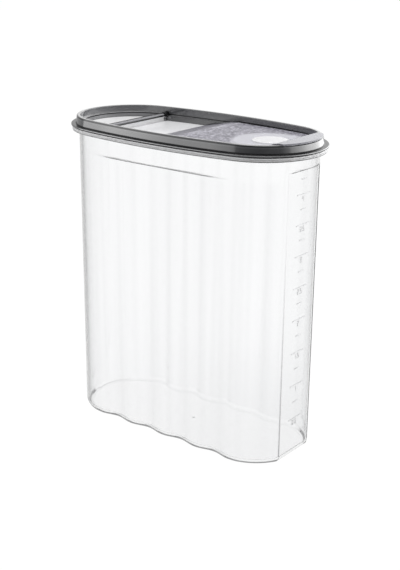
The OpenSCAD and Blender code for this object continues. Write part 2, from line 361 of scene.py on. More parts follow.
def map_range(tree, value, low, high, out_low=0.0, out_high=1.0):
    """Carries a value from one range to another and holds it at the ends."""
    node = tree.nodes.new("ShaderNodeMapRange")
    for key, number in (("From Min", low), ("From Max", high), ("To Min", out_low), ("To Max", out_high)):
        node.inputs[key].default_value = number
    tree.links.new(value, node.inputs["Value"])
    return node.outputs["Result"]


def colour_ramp(tree, value, stops):
    """Colours picked by a value, from stops of (value, colour)."""
    node = tree.nodes.new("ShaderNodeValToRGB")
    elements = node.color_ramp.elements
    elements[0].position, elements[-1].position = stops[0][0], stops[-1][0]
    for at, _ in stops[1:-1]:
        elements.new(at)
    for element, (_, colour) in zip(elements, stops):
        element.color = (*colour, 1)
    tree.links.new(value, node.inputs["Fac"])
    return node.outputs["Color"]


def show_white(tree, surface, target, share, kind, strength, glossy=False):
    """Mixes plain white into what is seen directly, through clear plastic or also in gloss."""
    white = tree.nodes.new(kind)
    white.inputs["Color"].default_value = (1, 1, 1, 1)
    white.inputs["Strength"].default_value = strength
    path = tree.nodes.new("ShaderNodeLightPath").outputs
    seen = calculate(tree, "MAXIMUM", path["Is Camera Ray"], path["Is Transmission Ray"])
    if glossy:
        seen = calculate(tree, "MAXIMUM", seen, path["Is Glossy Ray"])
    choose = tree.nodes.new("ShaderNodeMixShader")
    tree.links.new(calculate(tree, "MULTIPLY", seen, share), choose.inputs[0])
    tree.links.new(surface, choose.inputs[1])
    tree.links.new(white.outputs[0], choose.inputs[2])
    tree.links.new(choose.outputs[0], target)


def add_world():
    """A dim even studio."""
    world = bpy.data.worlds.new("studio")
    bpy.context.scene.world = world
    tree = nodes_of(world)
    out = tree.nodes.new("ShaderNodeOutputWorld")
    light = tree.nodes.new("ShaderNodeBackground")
    light.inputs["Strength"].default_value = WORLD_STRENGTH
    show_white(tree, light.outputs[0], out.inputs["Surface"], 1.0, "ShaderNodeBackground", 1.0)


# Brightness of the light tent by bearing from the X axis, in degrees: dark behind the
# camera, bright to its left, to the right and at the back
TENT = [
    (-180, 0.4), (-167, 0.4), (-164, 1.6), (-146, 2.1), (-142, 2.6), (-138, 2.5), (-130, 2.15),
    (-122, 1.65), (-114, 1.6), (-111, 1.6), (-105, 1.05), (-100, 0.75), (-98, 0.3), (-88, 0.2),
    (-60, 0.1), (-14, 0.2), (-3, 0.7), (0, 1.3), (5, 1.45), (22, 2.3), (36, 3.2), (56, 2.9),
    (76, 3.0), (100, 1.9), (112, 1.6), (122, 1.0), (140, 1.0), (146, 0.4), (180, 0.4)]
TENT_TOP = 3.2  # brightness that the ramp's white stands for
TENT_RADIUS, TENT_FOOT, TENT_HEAD = 1.3, 0.02, 0.85  # metres
TENT_STEPS = 96
GAP_BEARINGS = (96, 104, 134, 140)  # where the dim gap at the tent's back starts, is full and ends
GAP_HEIGHTS = (0.19, 0.24)  # metres: the gap is full below the first and ends at the second
GAP_SHARE = 0.15  # what is left of the light in the gap


def turn(bearing):
    """A bearing in degrees as the radial gradient gives it, from 0 to 1."""
    return bearing / 360 + 0.5


def tent_material():
    material = bpy.data.materials.new("tent_light")
    tree = nodes_of(material)
    out = tree.nodes.new("ShaderNodeOutputMaterial")
    glow = tree.nodes.new("ShaderNodeEmission")
    place = tree.nodes.new("ShaderNodeTexCoord").outputs["Object"]
    around = tree.nodes.new("ShaderNodeTexGradient")
    around.gradient_type = "RADIAL"
    tree.links.new(place, around.inputs["Vector"])
    bearing = around.outputs["Fac"]
    panels = colour_ramp(tree, bearing, [(turn(b), [level / TENT_TOP] * 3) for b, level in TENT])
    tree.links.new(panels, glow.inputs["Color"])
    axes = tree.nodes.new("ShaderNodeSeparateXYZ")
    tree.links.new(place, axes.inputs[0])
    starts, full, ends, over = (turn(b) for b in GAP_BEARINGS)
    gap = map_range(tree, axes.outputs[2], *GAP_HEIGHTS, 1.0, 0.0)
    gap = calculate(tree, "MULTIPLY", gap, map_range(tree, bearing, starts, full))
    gap = calculate(tree, "MULTIPLY", gap, map_range(tree, bearing, ends, over, 1.0, 0.0))
    tree.links.new(map_range(tree, gap, 0.0, 1.0, TENT_TOP, GAP_SHARE * TENT_TOP), glow.inputs["Strength"])
    tree.links.new(glow.outputs[0], out.inputs["Surface"])
    return material


def add_tent():
    """A round wall of soft light with brighter and darker panels; the camera stands inside it."""
    n = TENT_STEPS
    mesh = bpy.data.meshes.new("light_tent")
    mesh.from_pydata([(x, y, z) for z in (TENT_FOOT, TENT_HEAD) for x, y in circle(TENT_RADIUS, n)], [],
                     [(i, (i + 1) % n, n + (i + 1) % n, n + i) for i in range(n)])
    mesh.materials.append(tent_material())
    tent = bpy.data.objects.new("light_tent", mesh)
    tent.visible_camera = False
    tent.visible_transmission = False
    bpy.context.scene.collection.objects.link(tent)


def add_lamp(name, place, aim, size, radiance):
    """A rectangular lamp that glows evenly and isn't seen directly or through clear plastic."""
    data = bpy.data.lights.new(name, "AREA")
    data.shape = "RECTANGLE"
    data.size, data.size_y = size
    data.energy = radiance * math.pi * size[0] * size[1]
    lamp = bpy.data.objects.new(name, data)
    lamp.location = place
    lamp.rotation_euler = (Vector(aim) - Vector(place)).to_track_quat("-Z", "Y").to_euler()
    lamp.visible_camera = False
    lamp.visible_transmission = False
    bpy.context.scene.collection.objects.link(lamp)


def floor_material():
    """White studio floor: it shows as plain white, a little darker only in the object's shadow."""
    material = bpy.data.materials.new("floor_white")
    tree = nodes_of(material)
    out = tree.nodes.new("ShaderNodeOutputMaterial")
    paper = tree.nodes.new("ShaderNodeBsdfDiffuse")
    paper.inputs["Color"].default_value = (0.7, 0.7, 0.7, 1)
    show_white(tree, paper.outputs[0], out.inputs["Surface"], 0.94, "ShaderNodeEmission", 1.05, glossy=True)
    return material


def add_floor():
    half = FLOOR_HALF
    mesh = bpy.data.meshes.new("floor")
    mesh.from_pydata([(-half, -half, 0), (half, -half, 0), (half, half, 0), (-half, half, 0)], [],
                     [(0, 1, 2, 3)])
    mesh.materials.append(floor_material())
    floor = bpy.data.objects.new("floor", mesh)
    bpy.context.scene.collection.objects.link(floor)


# ---- Materials -------------------------------------------------------------------

CLEAR_DENSITY = 9.0  # share of light taken in a metre of clear plastic, as a rate
CLEAR_IOR = 1.49
DEEP_SHADE = (0.012, 0.012, 0.013)  # the grey plastic's gaps and inner corners


class Plastic:
    """A Principled material with object-space masks for its colour, bump and roughness.

    A mask is a socket that runs from 0 to 1, or a plain number.
    """

    def __init__(self, name, colour, roughness, **sockets):
        self.material = bpy.data.materials.new(name)
        self.tree = nodes_of(self.material)
        self.out = self.tree.nodes.new("ShaderNodeOutputMaterial")
        self.shader = self.tree.nodes.new("ShaderNodeBsdfPrincipled")
        self.tree.links.new(self.shader.outputs[0], self.out.inputs["Surface"])
        self.shader.inputs["Base Color"].default_value = (*colour, 1)
        self.shader.inputs["Roughness"].default_value = roughness
        for key, value in sockets.items():
            self.shader.inputs[key.replace("_", " ")].default_value = value
        coordinates = self.tree.nodes.new("ShaderNodeTexCoord").outputs
        self.place = coordinates["Object"]
        self.x, self.y, self.z = self.axes(self.place)
        self.facing = self.axes(coordinates["Normal"])

    def axes(self, vector):
        node = self.tree.nodes.new("ShaderNodeSeparateXYZ")
        self.tree.links.new(vector, node.inputs[0])
        return node.outputs

    def noise(self, scale, detail=2.0, stretch=(1, 1, 1)):
        """Noise with that many cells in a metre."""
        mapping = self.tree.nodes.new("ShaderNodeMapping")
        mapping.inputs["Scale"].default_value = stretch
        noise = self.tree.nodes.new("ShaderNodeTexNoise")
        noise.inputs["Scale"].default_value = scale
        noise.inputs["Detail"].default_value = detail
        self.tree.links.new(self.place, mapping.inputs["Vector"])
        self.tree.links.new(mapping.outputs[0], noise.inputs["Vector"])
        return noise.outputs["Fac"]

    def math(self, operation, a, b=None):
        return calculate(self.tree, operation, a, b)

    def both(self, *masks):
        """Where all the masks hold: their product."""
        return reduce(lambda a, b: self.math("MULTIPLY", a, b), masks)

    def either(self, *masks):
        """Where any of the masks holds: the largest."""
        return reduce(lambda a, b: self.math("MAXIMUM", a, b), masks)

    def distance(self, a, a_middle, b, b_middle):
        """Distance in the plane of two axes from a point given in millimetres."""
        squares = [self.math("POWER", self.math("SUBTRACT", value, middle * MM), 2)
                   for value, middle in ((a, a_middle), (b, b_middle))]
        return self.math("POWER", self.math("ADD", *squares), 0.5)

    def ramp(self, value, low, high, out_low=0.0, out_high=1.0):
        return map_range(self.tree, value, low, high, out_low, out_high)

    def along(self, length, low, high, out_low=0.0, out_high=1.0):
        """A ramp between two places in millimetres."""
        return self.ramp(length, low * MM, high * MM, out_low, out_high)

    def below(self, length, low, high):
        """1 up to the first place in millimetres, 0 from the second."""
        return self.along(length, low, high, 1.0, 0.0)

    def band(self, length, rise, top_from, top_to, fall):
        """1 between two places in millimetres, falling to 0 on both sides."""
        return self.both(self.along(length, rise, top_from), self.below(length, top_to, fall))

    def drive(self, value, socket):
        self.tree.links.new(value, self.shader.inputs[socket])

    def tint(self, mask, colour):
        """Mixes the base colour towards a colour where the mask is 1."""
        node = self.tree.nodes.new("ShaderNodeMix")
        node.data_type = "RGBA"
        base = self.shader.inputs["Base Color"]
        if base.links:
            self.tree.links.new(base.links[0].from_socket, node.inputs["A"])
        else:
            node.inputs["A"].default_value = base.default_value
        node.inputs["B"].default_value = (*colour, 1)
        self.tree.links.new(mask, node.inputs["Factor"])
        self.drive(node.outputs["Result"], "Base Color")

    def colours(self, value, stops):
        """Takes the base colour from a ramp of (value, colour) stops."""
        self.drive(colour_ramp(self.tree, value, stops), "Base Color")

    def clouds(self, pale, deep):
        """Soft clouds between two colours."""
        self.colours(self.noise(45, 3), [(0.3, pale), (0.7, deep)])

    def wear(self, scale, low, high):
        """Roughness that varies finely between two values."""
        self.drive(self.ramp(self.noise(scale), 0.3, 0.7, low, high), "Roughness")

    def haze(self):
        """The slight roughness of polished clear plastic."""
        return self.ramp(self.noise(220), 0.35, 0.75, 0.01, 0.05)

    def bump(self, height, distance):
        """Adds a bump in metres."""
        node = self.tree.nodes.new("ShaderNodeBump")
        node.inputs["Strength"].default_value = 1.0
        node.inputs["Distance"].default_value = distance
        self.tree.links.new(height, node.inputs["Height"])
        self.tree.links.new(node.outputs[0], self.shader.inputs["Normal"])


def clear_plastic(name, edges=1.0):
    """Polished clear plastic with the faint ripples of its mould.  Painted shade darkens it along its
    edges.
    """
    plastic = Plastic(name, (0.982, 0.984, 0.987), 0.02, Transmission_Weight=1.0, IOR=CLEAR_IOR)
    depth = plastic.tree.nodes.new("ShaderNodeVolumeAbsorption")
    depth.inputs["Color"].default_value = (0.0, 0.0, 0.0, 1)
    depth.inputs["Density"].default_value = CLEAR_DENSITY
    plastic.tree.links.new(depth.outputs[0], plastic.out.inputs["Volume"])
    slant = plastic.tree.nodes.new("ShaderNodeLayerWeight")
    slant.inputs["Blend"].default_value = 0.5
    plastic.slant = slant.outputs["Facing"]
    plastic.level = plastic.math("ABSOLUTE", plastic.facing[2])
    upright = plastic.both(plastic.ramp(plastic.level, 0.93, 0.99, 1.0, 0.1),
                           plastic.along(plastic.x, 90, 105, 1.0, 0.4))
    # Painted shade: grey where the plastic is seen at a slant, fainter on flat tops and towards the flat
    # end
    for start, full, share, grey in ((0.2, 0.6, 0.4, (0.6, 0.605, 0.61)),
                                     (0.6, 0.78, 1.0, (0.25, 0.252, 0.255))):
        edge = plastic.ramp(plastic.slant, start, full, 0.0, share * edges)
        plastic.tint(plastic.both(edge, upright), grey)
    plastic.bump(plastic.noise(14, 2, (1, 1, 0.35)), 0.0002)
    return plastic


def tint_walls(plastic, side):
    """Painted shade on the walls: faint upright streaks on the wavy walls and a slight grey low down, more
    towards the flat end.  A slight grey on the floor.
    """
    # Painted shade: faint upright streaks, strongest where the waves slope most
    streak_shade = plastic.ramp(plastic.noise(26, 3, (1, 1, 0.05)), 0.5, 0.72, 0.0, 0.06)
    turns = plastic.math("MULTIPLY", plastic.x, 2 * math.pi / WAVE_PITCH / MM)
    flank_shade = plastic.ramp(plastic.math("ABSOLUTE", plastic.math("SINE", turns)), 0.8, 1.0, 0.0, 0.055)
    wavy = plastic.below(plastic.z, FLAT_SIDE_TOP - 6, FLAT_SIDE_TOP)
    plastic.tint(plastic.both(plastic.math("ADD", streak_shade, flank_shade), side, wavy), (0.55, 0.555, 0.56))
    # Painted shade: a slight grey low on the walls, more towards the flat end
    low = plastic.below(plastic.z, 20, 110)
    towards_end = plastic.along(plastic.x, -30, 50, 0.15, 0.45)
    plastic.tint(plastic.both(low, towards_end, side), (0.86, 0.864, 0.87))
    floor = plastic.both(plastic.ramp(plastic.level, 0.97, 0.99),
                         plastic.below(plastic.z, FLOOR + 0.5, FLOOR + 1.5))
    plastic.tint(floor, (0.93, 0.932, 0.935))


def tint_end_corners(plastic, side):
    """Painted shade: a dark line down the two upright corners of the flat end, fading upwards."""
    from_end_centre = plastic.math("SUBTRACT", plastic.x, END_X * MM)
    angle = plastic.math("ARCTAN2", plastic.math("ABSOLUTE", plastic.y), from_end_centre)
    off_corner = plastic.math("ABSOLUTE", plastic.math("SUBTRACT", angle, FLAT_END_ANGLE))
    corner = plastic.ramp(off_corner, 0.004, 0.016, 1.0, 0.0)
    fade = plastic.both(plastic.along(plastic.z, 0, 200, 1.0, 0.09),
                        plastic.below(plastic.z, FLAT_END_TOP - BAND_SLOPE - 1, FLAT_END_TOP))
    plastic.tint(plastic.both(corner, side, fade), (0.25, 0.25, 0.26))


def tint_foot(plastic):
    """Painted shade: a grey line round the foot, where its rounded edge lies at a slant, and along the flat
    end.
    """
    forward = plastic.facing[0]
    sideways = plastic.math("SUBTRACT", plastic.math("ABSOLUTE", plastic.facing[1]),
                            plastic.math("MULTIPLY", forward, 0.3))
    off_end = plastic.both(plastic.ramp(forward, 0.2, 0.5, 1.0, 0.0), plastic.below(plastic.x, 80, 95))
    curved = plastic.both(plastic.ramp(plastic.level, 0.8, 0.9, 1.0, 0.0),
                          plastic.ramp(forward, -0.88, -0.75),
                          plastic.either(off_end, plastic.ramp(sideways, 0.0, 0.06)))
    # Painted shade: a soft grey and a darker core line where the foot's rounded edge lies at a slant
    soft = plastic.both(plastic.ramp(plastic.slant, 0.3, 0.42, 0.0, 0.45), plastic.below(plastic.z, 4.5, 6))
    plastic.tint(plastic.both(soft, curved), (0.3, 0.3, 0.305))
    foot_shade_core = plastic.both(plastic.ramp(plastic.slant, 0.38, 0.44), plastic.below(plastic.z, 4, 4.8))
    plastic.tint(plastic.both(foot_shade_core, curved), (0.05, 0.05, 0.052))
    # Painted shade: a grey line along the foot of the flat end
    end_foot = plastic.both(plastic.ramp(forward, 0.4, 0.6), plastic.below(plastic.z, 0.9, 1.6), 0.7)
    plastic.tint(end_foot, (0.3, 0.3, 0.305))


def tint_rim(plastic):
    """The rim's pale lips, with painted shade along their edges; returns the rim's mask."""
    foot = RIM_TOP - RIM_HEIGHT
    rim = plastic.along(plastic.z, foot - 0.3, foot + 0.1)
    plastic.tint(rim, (0.9, 0.902, 0.91))
    # Painted shade along the top and bottom edges of the lips
    lip_edge_shade = plastic.either(plastic.along(plastic.z, RIM_TOP - 0.5, RIM_TOP - 0.1),
                               plastic.band(plastic.z, foot - 0.1, foot, foot + 0.5, foot + 0.9))
    plastic.tint(lip_edge_shade, (0.14, 0.142, 0.15))
    return rim


def container_plastic():
    """Clear plastic, milky in the rim, with painted shade down the flat end's corners and a painted grey
    line round the foot.
    """
    plastic = clear_plastic("clear_container")
    side = plastic.ramp(plastic.level, 0.2, 0.5, 1.0, 0.0)
    tint_walls(plastic, side)
    tint_end_corners(plastic, side)
    tint_foot(plastic)
    rim = tint_rim(plastic)
    plastic.drive(plastic.ramp(rim, 0.0, 1.0, 1.0, 0.2), "Transmission Weight")
    plastic.drive(plastic.math("ADD", plastic.haze(), plastic.both(rim, 0.2)), "Roughness")
    return plastic.material


def clear_mark_plastic():
    """The clear plastic of the raised marks, with fainter painted shade along its edges."""
    plastic = clear_plastic("clear_marks", 0.25)
    plastic.drive(plastic.haze(), "Roughness")
    return plastic.material


def painted_shade_places(plastic, inner, outer):
    """Masks where shade is painted on the grey plastic: its gaps and shaded corners, on the hinge bosses,
    and a dark line of painted reflection under the collar's top edge.
    """
    x, y, z = plastic.x, plastic.y, plastic.z
    # Painted shade over and under the flange, on the hinge bosses, beside the door panel and in a line
    # under the collar's top edge
    above_flange = plastic.band(z, FLANGE_TOP - 0.15, FLANGE_TOP, FLANGE_TOP + 0.6, FLANGE_TOP + 1)
    under_flange = plastic.both(outer, plastic.below(z, FLANGE_BOTTOM + 0.6, FLANGE_BOTTOM + 0.7))
    shoulder_shade = plastic.band(z, LID_TOP - 1.5, LID_TOP - 1.2, LID_TOP - 0.7, LID_TOP - 0.4)
    panel_gap_shade = plastic.band(z, PANEL_TOP - 0.6, PANEL_TOP - 0.5, PANEL_TOP + 0.9, PANEL_TOP + 1.5)
    beside_panel = plastic.along(x, CREASE_X - 4, CREASE_X)
    from_hinge = plastic.distance(x, -HINGE_X, z, HINGE_Z)
    pocket_shade = plastic.both(plastic.below(from_hinge, BOSS_RADIUS + 0.1, BOSS_RADIUS + 0.5),
                          plastic.along(z, HINGE_Z - 0.6, HINGE_Z - 0.2),
                          plastic.below(plastic.math("ABSOLUTE", y), 47.5, 48.5))
    return [above_flange, under_flange, pocket_shade, plastic.both(panel_gap_shade, inner, beside_panel),
            plastic.both(outer, shoulder_shade, 0.75)]


def grey_plastic():
    """Glossy dark grey plastic with a faint grain where the plastic flowed.  Painted shade makes it dark
    and less glossy in its gaps and corners, and painted light pales some bands of it.
    """
    plastic = Plastic("lid_grey", (0.05, 0.051, 0.055), 0.12, Specular_IOR_Level=1.0, Coat_Weight=1.0,
                      Coat_Roughness=0.06)
    plastic.colours(plastic.noise(90, 4), [(0.3, (0.046, 0.047, 0.051)), (0.7, (0.054, 0.055, 0.059))])
    x, y, z = plastic.x, plastic.y, plastic.z
    outward = plastic.math("ADD", plastic.both(plastic.facing[0], x), plastic.both(plastic.facing[1], y))
    outer = plastic.ramp(outward, 0.0, 0.02)
    inner = plastic.ramp(outward, -0.02, 0.0, 1.0, 0.0)
    # Painted light: paler inner walls towards the rear end
    plastic.tint(plastic.both(inner, plastic.below(x, -110, -50)), (0.16, 0.162, 0.17))
    # Painted shade low on the skirt's inner face in front of the hinge
    skirt = plastic.both(inner, plastic.along(x, -63.5, -61.5),
                         plastic.below(z, FRONT_LEDGE - 0.3, FRONT_LEDGE), 0.75)
    plastic.tint(skirt, DEEP_SHADE)
    # Painted highlight: a paler band on the flange's outer edge
    flange = plastic.band(z, FLANGE_BOTTOM + 0.7, FLANGE_BOTTOM + 0.8, FLANGE_TOP - 0.4, FLANGE_TOP - 0.2)
    plastic.tint(plastic.both(flange, outer), (0.2, 0.202, 0.21))
    # Painted highlight: a faintly paler band under the collar's top edge
    painted_collar_highlight = plastic.band(z, LID_TOP - 2.8, LID_TOP - 2.2, LID_TOP - 1.8, LID_TOP - 1.5)
    plastic.tint(plastic.both(painted_collar_highlight, outer), (0.08, 0.081, 0.086))
    # Painted shade: dark and less glossy in the gaps and corners
    painted_shade = plastic.either(*painted_shade_places(plastic, inner, outer))
    plastic.tint(painted_shade, DEEP_SHADE)
    for socket in ("Specular IOR Level", "Coat Weight"):
        plastic.drive(plastic.ramp(painted_shade, 0.0, 1.0, 1.0, 0.1), socket)
    plastic.wear(500, 0.08, 0.16)
    plastic.bump(plastic.noise(1500, 2), 0.00001)
    return plastic.material


def frosted_plastic():
    """Clear plastic with a coarse hammered grain and a faint lilac cast, smoother round the badge.  Painted
    highlights pale the top of the ramp in places and the place round the badge.
    """
    plastic = Plastic("door_frosted", (0.35, 0.34, 0.38), 0.4, Transmission_Weight=0.2, IOR=CLEAR_IOR)
    grain = plastic.noise(420, 3)
    plastic.colours(grain, [(0.37, (0.12, 0.115, 0.145)), (0.5, (0.30, 0.29, 0.34)),
                            (0.63, (0.52, 0.51, 0.57))])
    ramp = plastic.along(plastic.x, CREASE_X - 3, CREASE_X, 0.55, 0.0)
    plastic.tint(ramp, (0.13, 0.126, 0.15))
    # Painted highlight in blotches along the top of the ramp
    crest_highlight = plastic.band(plastic.x, CREASE_X - 1, CREASE_X + 1, CREASE_X + 3, CREASE_X + 8)
    highlight_patches = plastic.ramp(plastic.noise(60, 2), 0.4, 0.65, 0.0, 0.6)
    plastic.tint(plastic.both(crest_highlight, highlight_patches), (0.62, 0.61, 0.67))
    # Smoother round the badge, and paler there with a painted highlight
    polished = plastic.below(plastic.distance(plastic.x, BADGE_X, plastic.y, 0), 28, 33)
    plastic.tint(plastic.both(polished, 0.75), (0.68, 0.68, 0.73))
    plastic.drive(plastic.ramp(grain, 0.3, 0.7, 0.3, 0.6), "Roughness")
    plastic.bump(plastic.both(grain, plastic.ramp(polished, 0.0, 1.0, 1.0, 0.15)), 0.0008)
    return plastic.material


def smooth_plastic(name, tone, cloudiness=0.75, gloss=0.5):
    """The smooth pieces and places of the lid's clear parts, milky over the white inside."""
    plastic = Plastic(name, tone, 0.15, Transmission_Weight=1 - cloudiness, IOR=CLEAR_IOR,
                      Specular_IOR_Level=gloss)
    plastic.clouds(tuple(c * 0.96 for c in tone), tone)
    plastic.wear(300, 0.1, 0.2)
    plastic.bump(plastic.noise(60), 0.00005)
    return plastic.material


def rib_plastic():
    """The window's rib, clear plastic with painted shade: grey in its height and darker along its top."""
    plastic = Plastic("rib_painted_shade", (0.4, 0.4, 0.42), 0.15, Transmission_Weight=0.2, IOR=CLEAR_IOR)
    plastic.clouds((0.42, 0.42, 0.44), (0.46, 0.46, 0.48))
    rib_top = WINDOW_TOP + WINDOW_RIB
    # Painted shade along the rib's top
    plastic.tint(plastic.along(plastic.z, rib_top - 0.5, rib_top - 0.1), (0.14, 0.14, 0.145))
    plastic.wear(300, 0.1, 0.2)
    return plastic.material


def bar_plastic():
    """The door's hinge bar: milky below, with painted shade round the bar and a paler painted highlight
    along its top.
    """
    plastic = Plastic("bar_milky", (0.98, 0.98, 0.99), 0.2, Transmission_Weight=0.1, IOR=CLEAR_IOR)
    plastic.clouds((0.96, 0.96, 0.975), (1.0, 1.0, 1.0))
    # Painted shade round the bar
    plastic.tint(plastic.along(plastic.z, HINGE_Z - 0.7, HINGE_Z - 0.4), (0.03, 0.03, 0.033))
    # Painted highlight along the bar's top
    plastic.tint(plastic.along(plastic.z, HINGE_Z + 0.9, HINGE_Z + 1.2), (0.3, 0.3, 0.32))
    plastic.wear(300, 0.12, 0.25)
    return plastic.material


# ---- Container ---------------------------------------------------------------------

FLAT_STEPS, SIDE_STEPS, ROUND_STEPS = 96, 150, 72


def wall_growth(z):
    """How far the container's wall stands out from the collar's outline at height z."""
    return -WALL_INSET - WALL_DRAFT * (1 - z / RIM_TOP)


def wavy_half_width(x, z):
    """Half width between the wavy long walls at x and z."""
    t = min(1.0, max(0.0, z / FLAT_SIDE_TOP))
    x = min(abs(x), 2 * WAVE_PITCH)
    return mix(SIDE_BASE, SIDE_TOP, t) + WAVE_HEIGHT * (1 - t) * math.cos(2 * math.pi * x / WAVE_PITCH)


def container_ring(z, growth, inset, flat_side=0.0, flat_end=0.0):
    """The container's outline at height z, drawn in by inset."""
    g = growth - inset
    radius = END_RADIUS + g
    cut = END_X + (END_RADIUS + growth) * math.cos(FLAT_END_ANGLE) - inset
    joint = END_X + radius * math.cos(END_ANGLE)
    ring = []

    def limited(x, y):
        if not flat_side:
            return y
        return mix(y, soft_min(y, wavy_half_width(x, z) - inset, 1.2), flat_side)

    for i in range(FLAT_STEPS):
        a = mix(-END_ANGLE, END_ANGLE, i / FLAT_STEPS)
        x = END_X + radius * math.cos(a)
        x = mix(x, soft_min(x, cut, 0.6), flat_end) if flat_end else x
        y = radius * math.sin(a)
        ring.append((x, math.copysign(limited(x, abs(y)), y), z))
    for i in range(SIDE_STEPS):
        x = joint * (1 - 2 * i / SIDE_STEPS)
        ring.append((x, limited(x, oval_half_width(x, g)), z))
    for i in range(ROUND_STEPS):
        a = math.pi - END_ANGLE + 2 * END_ANGLE * i / ROUND_STEPS
        x, y = -END_X + radius * math.cos(a), radius * math.sin(a)
        ring.append((x, math.copysign(limited(x, abs(y)), y), z))
    for i in range(SIDE_STEPS):
        x = joint * (2 * i / SIDE_STEPS - 1)
        ring.append((x, -limited(x, oval_half_width(x, g)), z))
    return ring


def container_skin(inset, bottom, fillet, top):
    """Rings of one skin from the floor's rounded edge up to the rim."""
    levels = [(bottom, inset + fillet + 1.5), (bottom, inset + fillet + 0.3)]
    levels += [(bottom + fillet * (1 - math.cos(a)), inset + fillet * (1 - math.sin(a)))
               for a in (math.pi / 2 * i / 8 for i in range(9))]
    first, side_foot, end_foot = bottom + fillet, FLAT_SIDE_TOP - BAND_SLOPE, FLAT_END_TOP - BAND_SLOPE
    levels += [(mix(first, side_foot, i / 20), inset) for i in range(1, 21)]
    levels += [(mix(side_foot, FLAT_SIDE_TOP, i / 10), inset) for i in range(1, 11)]
    levels += [(mix(end_foot, FLAT_END_TOP, i / 10), inset) for i in range(0, 11)]
    levels += [(mix(FLAT_END_TOP, top, i / 4), inset) for i in range(1, 5)]
    return [container_ring(z, wall_growth(z), d, 1 - smooth((z - side_foot) / BAND_SLOPE),
                           1 - smooth((z - end_foot) / BAND_SLOPE)) for z, d in levels]


def container_rim():
    """The rim's two lips with the groove between them."""
    g, bottom = wall_growth(RIM_TOP) + RIM_WIDTH, RIM_TOP - RIM_HEIGHT
    lip = (RIM_HEIGHT - RIM_GROOVE) / 2
    r = 0.3
    lower_lip = [(0, 1.5), (0, r), (r * 0.3, r * 0.3), (r, 0), (lip - r, 0), (lip - r * 0.3, r * 0.3),
                 (lip, r), (lip + 0.1, RIM_GROOVE)]
    upper_lip = [(RIM_HEIGHT - dz, d) for dz, d in lower_lip[::-1]]
    return [container_ring(bottom + dz, g, d) for dz, d in lower_lip + upper_lip]


def end_face_x(z):
    """Where the flat end's outer face stands at height z."""
    return END_X + (END_RADIUS + wall_growth(z)) * math.cos(FLAT_END_ANGLE)


def mark_height(k):
    """Height of the mark that is k half litres above the first one."""
    return FIRST_MARK + MARK_PITCH * k - MARK_CLOSING * k * k


def marks():
    """(half litres above the first mark, height) of every mark that fits below the band."""
    k = 0.0
    while mark_height(k) + MARK_LINE < FLAT_END_TOP - BAND_SLOPE:
        yield k, mark_height(k)
        k += 0.5


# Bars of a digit that are lit, by the usual letters of a seven-bar display
SEGMENTS = {"0": "abcdef", "1": "bc", "2": "abged", "3": "abgcd", "4": "fgbc", "5": "afgcd"}


def add_number(shape, text, x, z):
    """A plain number in raised bars on the flat end, centred, with its top at z."""
    height = DIGIT_HEIGHT
    width, bar = height * 0.5, height * 0.14
    advance = [width * 0.5 if c == "." else width * 1.5 for c in text]
    left = -sum(advance) / 2
    for c, step in zip(text, advance):
        def stroke(y0, y1, z0, z1):
            shape.box((x - MARK_SINK, left + y0, z - height + z0),
                      (x + MARK_RELIEF / 2, left + y1, z - height + z1))
        if c == ".":
            stroke(0, bar, 0, bar)
        for segment in SEGMENTS.get(c, ""):
            if segment in "agd":
                foot = {"a": height - bar, "g": (height - bar) / 2, "d": 0}[segment]
                stroke(0, width, foot, foot + bar)
            else:
                side = 0 if segment in "ef" else width - bar
                foot = height / 2 if segment in "bf" else 0
                stroke(side, side + bar, foot, foot + height / 2)
        left += step


def add_container(material, mark_material):
    """The container's shell, and in a piece of its own the scale and the gate mark."""
    shape = Shape()
    inner = container_skin(WALL, FLOOR, BASE_FILLET - WALL / 2, RIM_TOP)
    shape.grid(container_skin(0, 0, BASE_FILLET, RIM_TOP - RIM_HEIGHT) + container_rim() + inner[::-1])
    make_piece("clear_container", shape.verts, shape.faces, material, "container", ["container"])
    lines = Shape()
    for k, z in marks():
        half = (LONG_MARK if k == int(k) else SHORT_MARK) / 2
        x = end_face_x(z)
        lines.box((x - MARK_SINK, -half, z - MARK_LINE / 2), (x + MARK_RELIEF, half, z + MARK_LINE / 2))
        if k == int(k):
            add_number(lines, f"{(k + 1) / 2:g}", end_face_x(z - 4), z - 1.4)
    gate = circle(GATE_RADIUS, 24)
    lines.grid([[(x, y, z) for x, y in gate] for z in (FLOOR - 0.1, FLOOR + GATE_HEIGHT)])
    make_piece("volume_marks", lines.verts, lines.faces, mark_material, "container",
               bevel=0.1)


# ---- Lid frame ---------------------------------------------------------------------

REAR_START_X = -HINGE_X - BOSS_RADIUS - 2


def frame_section(x, y):
    """The lid frame's section at a point of the outline: plug skirt, flange, collar and ledge."""
    ledge = mix(REAR_LEDGE, FRONT_LEDGE, smooth((x - REAR_START_X + 1) / 2))
    notch_edge = TAB_HALF_WIDTH + PANEL_CLEARANCE + 0.7
    notch = NOTCH_DEPTH * smooth((notch_edge - abs(y)) / 1.4) if x > END_X else 0
    top = LID_TOP - notch
    return rounded([
        (PLUG_OUTER, PLUG_BOTTOM, 0.5), (PLUG_OUTER, FLANGE_BOTTOM, 0), (FLANGE_WIDTH, FLANGE_BOTTOM, 0.4),
        (FLANGE_WIDTH, FLANGE_TOP, 0.5), (COLLAR_LEAN, FLANGE_TOP, 0.3), (0, top, 0.8),
        (-COLLAR_WALL, top, 0.6), (-COLLAR_WALL, ledge, 0.2), (PLUG_INNER, ledge, 0.4),
        (PLUG_INNER, PLUG_BOTTOM, 0.5)])


